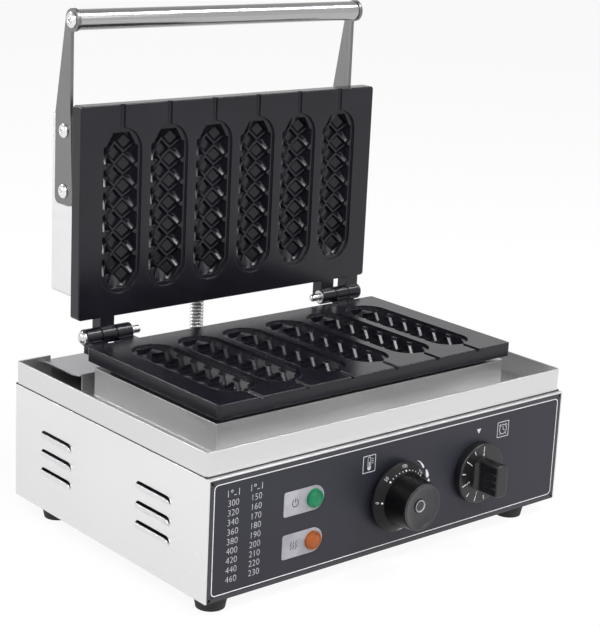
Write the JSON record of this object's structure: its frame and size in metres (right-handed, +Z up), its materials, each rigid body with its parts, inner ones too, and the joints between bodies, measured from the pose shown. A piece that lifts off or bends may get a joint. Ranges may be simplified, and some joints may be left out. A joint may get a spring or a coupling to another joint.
{
  "type": "waffle iron",
  "caption": "Electric countertop waffle-stick iron with a hinged lid, ribbed bar moulds, drip tray, dials and a tubular lid handle, stored lid open.",
  "frame": {"origin": "centre of the outer box in plan, on the table under the feet", "axes": "+X to the operator's right, +Y to the back, +Z up; lid stored open at 90 degrees"},
  "size_m": [0.3932, 0.322, 0.4274],
  "materials": {
    "steel_sheet": "satin",
    "steel_bright": "polished",
    "steel_plain": "plain zinc-plated",
    "panel_print": "satin print",
    "badge_white": "satin print",
    "lens_green": "clear gloss",
    "lens_amber": "clear gloss",
    "lamp_housing": "moulded",
    "knob_black": "fine grain",
    "nonstick": "black non-stick coating",
    "foot_rubber": "moulded",
    "wool": "ceramic wool",
    "element": "heat stained",
    "ceramic": "glazed",
    "gland_plastic": "moulded",
    "conduit_grey": "flexible sleeve",
    "brass": "plain"
  },
  "bodies": {
    "base": {"base_casing": "steel_sheet", "bottom_plate": "steel_plain", "rubber_feet": "foot_rubber", "foot_screws": "steel_plain", "front_sheet": "steel_sheet", "control_panel": "panel_print", "lamp_badges": "badge_white", "power_lamp_lens": "lens_green", "heat_lamp_lens": "lens_amber", "lamp_bodies": "lamp_housing", "thermostat_body": "steel_plain", "timer_body": "lamp_housing", "drip_tray": "steel_sheet", "rear_shelf": "steel_sheet", "plate_spacers": "steel_plain", "plate_screws": "steel_plain", "lower_plate": "nonstick", "lower_heater": "element", "lower_clamp": "steel_plain", "lower_clamp_bolts": "steel_plain", "lower_insulation": "wool", "heat_shield": "steel_plain", "thermostat_bulb": "brass", "thermostat_capillary": "brass", "terminal_block": "ceramic", "thermal_cutout": "ceramic", "cord_gland": "gland_plastic", "hinge_pin_left": "steel_bright", "hinge_pin_right": "steel_bright", "hinge_clips": "steel_plain", "conduit_base_bush": "steel_bright", "lead_conduit": "conduit_grey", "spring_sleeve": "steel_bright"},
    "lid": {"upper_plate": "nonstick", "upper_heater": "element", "upper_clamp": "steel_plain", "upper_clamp_bolts": "steel_plain", "lid_insulation": "wool", "lid_housing": "steel_sheet", "lid_posts": "steel_plain", "lid_screws": "steel_bright", "handle_arm_left": "steel_sheet", "handle_arm_right": "steel_sheet", "handle_tube": "steel_bright", "tube_plugs": "steel_plain", "handle_bolts": "steel_bright", "arm_screws": "steel_bright", "conduit_lid_bush": "steel_bright"},
    "thermostat_dial": {"thermostat_shaft": "steel_plain", "thermostat_knob": "knob_black", "thermostat_insert": "knob_black"},
    "timer_dial": {"timer_shaft": "steel_plain", "timer_knob": "knob_black"}
  },
  "joints": [
    {"name": "lid_hinge", "type": "hinge", "parent": "base", "child": "lid", "pos_m": [0, 0.103, 0.1552], "axis": [1, 0, 0], "range_deg": [0, 90], "deforming": ["spring_sleeve", "lead_conduit"]},
    {"name": "thermostat_turn", "type": "hinge", "parent": "base", "child": "thermostat_dial", "pos_m": [-0.005, -0.127, 0.059], "axis": [0, 1, 0], "range_deg": [0, 270]},
    {"name": "timer_turn", "type": "hinge", "parent": "base", "child": "timer_dial", "pos_m": [0.09, -0.127, 0.059], "axis": [0, 1, 0], "range_deg": [0, 300]}
  ]
}
